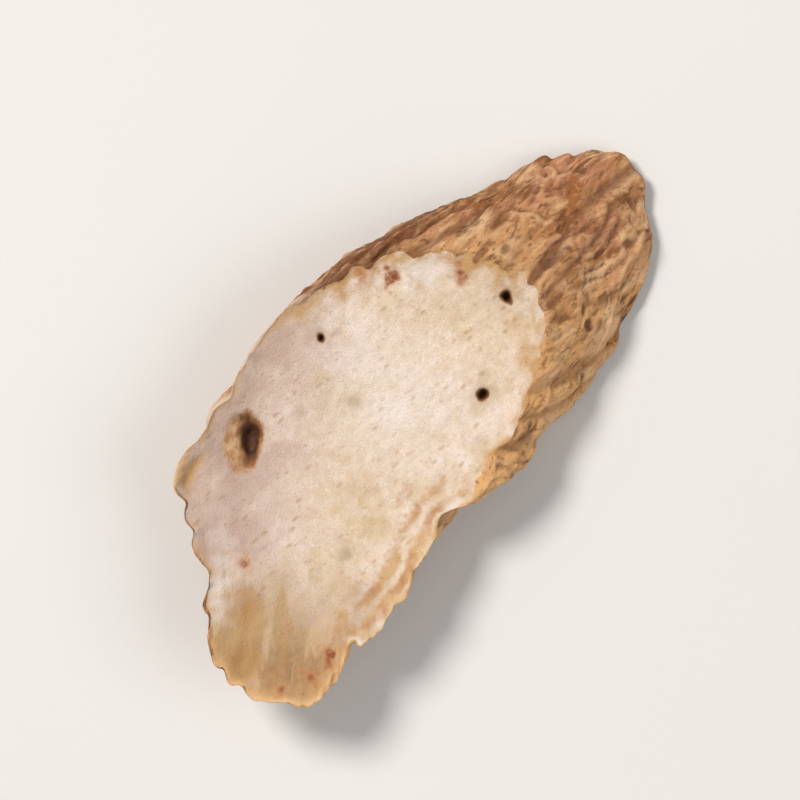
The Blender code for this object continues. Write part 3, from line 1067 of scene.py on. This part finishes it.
def outer_flesh(look, colour):
    """Ochre outer flesh beside the rim, with the tan bands of the long lower side."""
    cortex = look.plus(look.cloud(0.7 * MM, 0.30, 0.62, seed=67.0), 0.6)
    cortex = look.times(cortex, look.mark("cortex"))
    colour = look.stain(colour, cortex, 0.9, (196, 150, 94))
    cloud = look.cloud(0.8 * MM, 0.38, 0.62, seed=73.0)
    band_colour = look.mix(cloud, (180, 126, 76), (204, 160, 108))
    jitter = look.jitter(0.30 * MM, detail=4.0, roughness=0.65, seed=137.0)
    band = look.ramp(look.plus(look.mark("edge_band"), jitter), 0.05, 0.80)
    colour = look.stain(colour, band, 0.95, band_colour)
    return look.stain_marks(colour, FLESH_RIM_STAINS)


def pinholes(look, colour):
    """Small brown holes of cut bundles, in scattered clouds."""
    present = look.cloud(1.3 * MM, 0.46, 0.54, detail=2.0, seed=113.0)
    holes = look.times(look.dots(0.42 * MM, 0.13, seed=3.0), present)
    return look.stain(colour, holes, 0.3, (138, 98, 68))


def red_spots(look, colour, grain):
    """Red brown spots that the grain breaks up, each with a soft ochre halo."""
    halo = look.mark("red", 0.02, 0.60)
    colour = look.stain(colour, halo, 0.55, (196, 138, 88))
    spot = look.mark("red", 0.30, 0.85)
    return look.stain(colour, spot, look.ramp(grain, -0.6, 0.8), (144, 72, 30))


def bowl_and_furrow(look, colour):
    """Ochre floor of the bowl, with painted shade down its deeper slope, and the floor of the furrow.
    """
    cloud = look.cloud(0.4 * MM, 0.38, 0.62, detail=4.0, roughness=0.6, seed=69.0)
    bowl_colour = look.mix(cloud, (198, 142, 88), (228, 184, 132))
    # Painted shade down the bowl's deeper side
    slope = look.mark("bowl_slope", 0.45, 0.95)
    bowl_colour = look.mix(slope, bowl_colour, (128, 80, 44))
    colour = look.stain(colour, look.mark("bowl"), 0.9, bowl_colour)
    return look.stain(colour, look.mark("furrow"), 0.75, (174, 126, 66))


def flesh_colour(look):
    """Cream flesh with the dots, stains, rim and hollows of this slice."""
    grain = look.cloud(0.30 * MM, 0.35, 0.70, roughness=0.6, seed=5.0)
    colour = bundle_dots(look, flesh_ground(look, grain))
    colour = look.stain(colour, look.mark("yellow"), 0.7, (198, 164, 110))
    colour = pinholes(look, outer_flesh(look, colour))
    colour = look.stain_marks(colour, FLESH_SPECK_STAINS)
    return bowl_and_furrow(look, red_spots(look, colour, grain))


def hollow_colour(look):
    """Walls of the pit and the pores, brown at the top, with painted shade that darkens them deep
    down.
    """
    shade = look.cloud(0.45 * MM, 0.38, 0.62, seed=71.0)
    colour = look.mix(shade, (176, 124, 78), (146, 98, 54))
    # Painted shade deep in the pit and the pores
    deep = look.mark("hollow", 0.40, 0.90)
    return look.mix(deep, colour, look.mix(shade, (74, 40, 26), (100, 62, 34)))


def skin_ground(look):
    """Brown skin with tan and ochre clouds."""
    cloud = look.cloud(1.2 * MM, 0.38, 0.62, stretch=1.8, seed=83.0)
    colour = look.mix(cloud, (196, 136, 98), (154, 92, 38))
    shade = look.cloud(2.0 * MM, 0.40, 0.62, detail=2.0, seed=87.0)
    return look.stain(colour, shade, 0.4, (210, 162, 108))


def skin_bands(look, colour):
    """Broad stretches of the skin: a worn tan strip, painted light on the lower-right side, a light
    rim, and a dark band that is partly painted shade.
    """
    colour = look.stain(colour, look.mark("worn_rim"), 0.75, (206, 156, 98))
    patchy = look.cloud(0.55 * MM, 0.38, 0.62, stretch=1.6, detail=4.0, roughness=0.6, seed=139.0)
    patchy = look.plus(look.times(patchy, 0.4), 0.55)
    # Painted light on the lower-right side of the skin
    colour = look.stain(colour, look.mark("painted_light_side"), patchy, (234, 176, 110))
    return look.stain_marks(colour, SKIN_BAND_STAINS)


def skin_streaks(look, colour):
    """Light and dark streaks along the rod."""
    streak = look.noise(0.36 * MM, stretch=2.6, detail=4.0, roughness=0.6, distortion=1.2, seed=91.0)
    colour = look.stain(colour, look.ramp(streak, 0.54, 0.68), 0.65, (222, 172, 122))
    return look.stain(colour, look.ramp(streak, 0.46, 0.34), 0.75, (112, 64, 28))


def skin_spots(look, colour):
    """Dark and light spots with ragged edges."""
    jitter = look.jitter(0.34 * MM, stretch=3.0, detail=4.0, roughness=0.6, distortion=0.8, seed=131.0)
    dark = look.ramp(look.plus(look.mark("dark_spot"), jitter), 0.30, 0.90)
    colour = look.stain(colour, dark, 0.85, (120, 70, 22))
    light = look.ramp(look.plus(look.mark("light_spot"), jitter), 0.30, 0.95)
    return look.stain(colour, light, 0.75, (232, 188, 142))


def skin_relief_shading_and_flecks(look, colour):
    """Skin with painted shade in its grooves and bark pits, painted light on its bark ridges, and dark
    flecks.
    """
    # Painted shade in the grooves, weaker on the painted light side
    strength = look.less(0.75, look.times(look.mark("painted_light_side"), 0.35))
    valley = look.mark("valley", 0.10, 0.50)
    colour = look.stain(colour, valley, strength, (120, 68, 30))
    # Painted light on the bark's ridges
    ridge = look.mark("bark", 0.10, 0.90)
    colour = look.stain(colour, ridge, 0.55, (226, 180, 132))
    # Painted shade in the bark's pits
    pit = look.mark("bark", -0.25, -0.95)
    colour = look.stain(colour, pit, 0.75, (100, 58, 26))
    fleck = look.cloud(0.12 * MM, 0.40, 0.30, stretch=2.0, detail=2.0, seed=107.0)
    return look.stain(colour, fleck, 0.45, (96, 54, 28))


def skin_colour(look):
    """Brown skin, mottled and worn, with painted light and shade on its relief and sides, and its
    light rim.
    """
    colour = skin_bands(look, skin_ground(look))
    colour = skin_spots(look, skin_streaks(look, colour))
    return look.stain_marks(skin_relief_shading_and_flecks(look, colour), SKIN_RIM_STAINS)


def slice_bump(look):
    """Finest bumps: powdery on the flesh, fibrous and crumpled on the skin."""
    fine = look.noise(0.09 * MM, roughness=0.6, seed=101.0)
    fibre = look.noise(0.11 * MM, stretch=6.0, detail=4.0, roughness=0.65, seed=103.0)
    crumple = look.noise(0.30 * MM, stretch=2.5, detail=4.0, roughness=0.65, seed=127.0)
    fibre = look.plus(fibre, look.times(crumple, CRUMPLE_SHARE))
    by_skin = look.node("Mix", {0: look.mark("skin"), 2: fine, 3: fibre}, data_type="FLOAT")
    inputs = {"Height": by_skin.outputs[0], "Strength": BUMP_STRENGTH, "Distance": BUMP_DEPTH}
    return look.node("Bump", inputs).outputs[0]


def slice_material():
    look = Look("dried_slice")
    edge = look.jitter(0.25 * MM, roughness=0.6, seed=109.0)
    soft_edge = look.times(edge, 0.5)
    hollow = look.ramp(look.plus(look.mark("hollow"), soft_edge), 0.08, 0.45)
    skin = look.ramp(look.plus(look.mark("skin"), edge), 0.30, 0.70)
    colour = look.mix(hollow, flesh_colour(look), hollow_colour(look))
    colour = look.mix(skin, colour, skin_colour(look))
    sheen = look.noise(0.8 * MM, stretch=2.0, detail=2.0, seed=97.0)
    roughness = look.plus(look.times(sheen, ROUGHNESS_RANGE), ROUGHNESS)
    inputs = {"Base Color": colour, "Roughness": roughness, "Normal": slice_bump(look)}
    look.fill(look.shader, inputs)
    return look.material


def build_floor():
    mesh = bpy.data.meshes.new("floor")
    half = FLOOR_SIZE / 2.0
    corners = [(x * half, y * half, -FLOOR_DROP) for x, y in ((-1, -1), (1, -1), (1, 1), (-1, 1))]
    mesh.from_pydata(corners, [], [(0, 1, 2, 3)])
    look = Look("floor")
    cloud = look.noise(40.0 * MM, detail=2.0)
    colour = look.mix(cloud, (226, 224, 220), (232, 230, 227))
    look.fill(look.shader, {"Base Color": colour, "Roughness": FLOOR_ROUGHNESS})
    mesh.materials.append(look.material)
    add_object("floor", mesh)


def add_light(name, place, diameter, watts, tint):
    """A round lamp that points at the slice."""
    lamp = bpy.data.lights.new(name, "AREA")
    lamp.shape = "DISK"
    lamp.size = diameter
    lamp.energy = watts
    lamp.color = tint
    light = add_object(name, lamp)
    light.location = place
    light.rotation_euler = (-Vector(place)).to_track_quat("-Z", "Y").to_euler()


def build_lights():
    for lamp in LAMPS:
        add_light(*lamp)
    world = bpy.data.worlds.new("soft_studio")
    world.use_nodes = True
    sky = world.node_tree.nodes["Background"].inputs
    sky["Color"].default_value = (1.0, 1.0, 1.0, 1.0)
    sky["Strength"].default_value = SKY_STRENGTH
    bpy.context.scene.world = world
    bpy.context.scene.view_settings.view_transform = "Standard"


def build_camera():
    """Straight down, turned so that the slice lies as in the photo."""
    lens = bpy.data.cameras.new("camera")
    lens.lens = lens.sensor_width * CAMERA_HEIGHT / VIEW_WIDTH
    camera = add_object("camera", lens)
    camera.location = (0.0, 0.0, CAMERA_HEIGHT)
    camera.rotation_euler = (0.0, 0.0, PHOTO_TURN)
    bpy.context.scene.camera = camera


build_slice()
build_floor()
build_lights()
build_camera()
